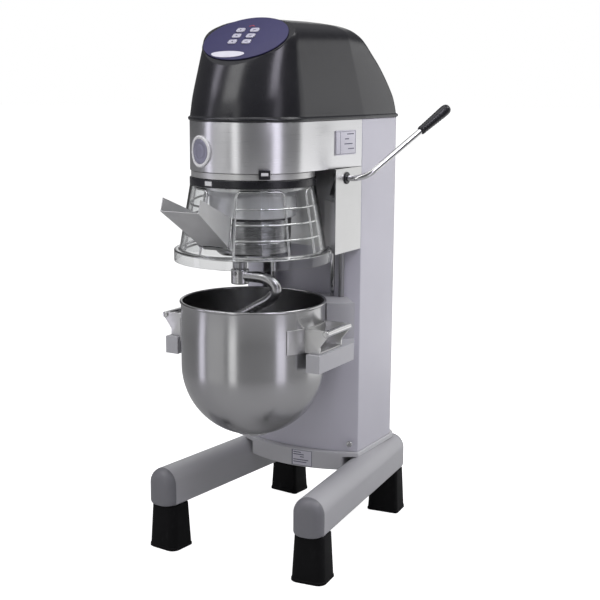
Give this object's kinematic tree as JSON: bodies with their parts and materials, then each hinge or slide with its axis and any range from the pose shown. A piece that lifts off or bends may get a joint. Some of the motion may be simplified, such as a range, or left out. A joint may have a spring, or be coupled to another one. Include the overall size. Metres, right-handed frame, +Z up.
{
  "type": "stand mixer",
  "caption": "Floor-standing commercial planetary mixer with splayed legs, tall column, domed head, clear guard with chute, dough hook, lifting bowl and side lever.",
  "frame": {"origin": "centre of the bounding box at floor level", "axes": "+Z up the column, -Y towards the user in front, +X to the lift lever's side"},
  "size_m": [0.5142, 0.6752, 1.1119],
  "materials": {
    "leg_paint": "silver-grey powder coat",
    "cap_grey": "satin",
    "rubber_black": "matt",
    "white_paint": "smooth pale powder coat",
    "brushed_steel": "brushed stainless",
    "cover_plastic": "satin moulded",
    "panel_violet": "smooth membrane",
    "button_grey": "satin",
    "label_pale": "printed foil, blank",
    "chrome": "polished",
    "black_plastic": "smooth moulded",
    "cast_alu": "as cast",
    "clear_plastic": "clear moulded, shown as glass",
    "gear_steel": "machined",
    "carrier_grey": "dark coated casting",
    "cradle_paint": "pale grey coated casting",
    "motor_paint": "dark enamel",
    "belt_rubber": "matt",
    "white_plastic": "smooth",
    "badge_grey": "satin"
  },
  "bodies": {
    "frame": {"badge_disc": "badge_grey", "badge_ring": "white_plastic", "base_casting": "white_paint", "bearing_lower": "gear_steel", "bearing_upper": "gear_steel", "column_screw": "chrome", "column_shell": "white_paint", "control_panel": "panel_violet", "drive_belt": "belt_rubber", "foot_back_left": "rubber_black", "foot_back_right": "rubber_black", "foot_front_left": "rubber_black", "foot_front_right": "rubber_black", "guard_collar": "chrome", "guard_sensor": "black_plastic", "guide_rod_left": "chrome", "guide_rod_right": "chrome", "head_cover": "cover_plastic", "head_frame": "cast_alu", "head_skirt": "brushed_steel", "leg_cap_back_left": "cap_grey", "leg_cap_back_right": "cap_grey", "leg_cap_front_left": "cap_grey", "leg_cap_front_right": "cap_grey", "leg_left": "leg_paint", "leg_right": "leg_paint", "lever_bush": "black_plastic", "motor": "motor_paint", "panel_label": "label_pale", "rail_bracket": "cast_alu", "rating_plate": "label_pale", "ring_gear": "cast_alu", "side_panel_left": "brushed_steel", "side_panel_right": "brushed_steel"},
    "guard": {"guard_ring": "black_plastic", "guard_screen": "clear_plastic", "guard_cage": "brushed_steel", "chute": "brushed_steel"},
    "planetary": {"planet_carrier": "carrier_grey", "main_shaft": "gear_steel", "main_pulley": "cast_alu"},
    "tool": {"tool_shaft": "gear_steel", "planet_pinion": "gear_steel", "dough_hook": "chrome", "bayonet_pin": "gear_steel"},
    "motor_rotor": {"motor_pulley": "cast_alu"},
    "lever": {"lever_rod": "chrome", "lever_grip": "black_plastic", "sector_pinion": "gear_steel"},
    "lift": {"lift_rack": "gear_steel", "bowl_cradle": "cradle_paint", "bowl": "brushed_steel", "handle_left": "brushed_steel", "handle_right": "brushed_steel"},
    "key_1": {"button_1": "button_grey"},
    "key_2": {"button_2": "button_grey"},
    "key_3": {"button_3": "button_grey"},
    "key_4": {"button_4": "button_grey"},
    "key_5": {"button_5": "button_grey"},
    "key_6": {"button_6": "button_grey"}
  },
  "joints": [
    {"name": "bowl_lift", "type": "slide", "parent": "frame", "child": "lift", "axis": [0, 0, 1], "range_m": [0, 0.0835]},
    {"name": "lever_turn", "type": "hinge", "parent": "frame", "child": "lever", "pos_m": [-0.0426, 0.0534, 0.793], "axis": [1, 0, 0], "range_deg": [0, 120]},
    {"name": "guard_turn", "type": "hinge", "parent": "frame", "child": "guard", "pos_m": [-0.0426, -0.0816, 0.79], "axis": [0, 0, -1], "range_deg": [0, 95]},
    {"name": "planet_spin", "type": "hinge", "parent": "frame", "child": "planetary", "pos_m": [-0.0426, -0.0816, 0.68], "axis": [0, 0, 1], "continuous": true},
    {"name": "tool_spin", "type": "hinge", "parent": "planetary", "child": "tool", "pos_m": [-0.0426, -0.1316, 0.68], "axis": [0, 0, 1], "continuous": true},
    {"name": "motor_spin", "type": "hinge", "parent": "frame", "child": "motor_rotor", "pos_m": [-0.0426, 0.2184, 0.85], "axis": [0, 0, 1], "continuous": true},
    {"name": "key_1_press", "type": "slide", "parent": "frame", "child": "key_1", "axis": [0, 0.6018, -0.7986], "range_m": [0, 0.001], "stiffness_N_per_m": 400},
    {"name": "key_2_press", "type": "slide", "parent": "frame", "child": "key_2", "axis": [0, 0.6018, -0.7986], "range_m": [0, 0.001], "stiffness_N_per_m": 400},
    {"name": "key_3_press", "type": "slide", "parent": "frame", "child": "key_3", "axis": [0, 0.6018, -0.7986], "range_m": [0, 0.001], "stiffness_N_per_m": 400},
    {"name": "key_4_press", "type": "slide", "parent": "frame", "child": "key_4", "axis": [0, 0.6018, -0.7986], "range_m": [0, 0.001], "stiffness_N_per_m": 400},
    {"name": "key_5_press", "type": "slide", "parent": "frame", "child": "key_5", "axis": [0, 0.6018, -0.7986], "range_m": [0, 0.001], "stiffness_N_per_m": 400},
    {"name": "key_6_press", "type": "slide", "parent": "frame", "child": "key_6", "axis": [0, 0.6018, -0.7986], "range_m": [0, 0.001], "stiffness_N_per_m": 400}
  ],
  "couplings": [
    {"joint": "lever_turn", "follows": "bowl_lift", "rad_per_m": 25},
    {"joint": "tool_spin", "follows": "planet_spin", "ratio": -2.9231},
    {"joint": "motor_spin", "follows": "planet_spin", "ratio": 3.1429}
  ]
}
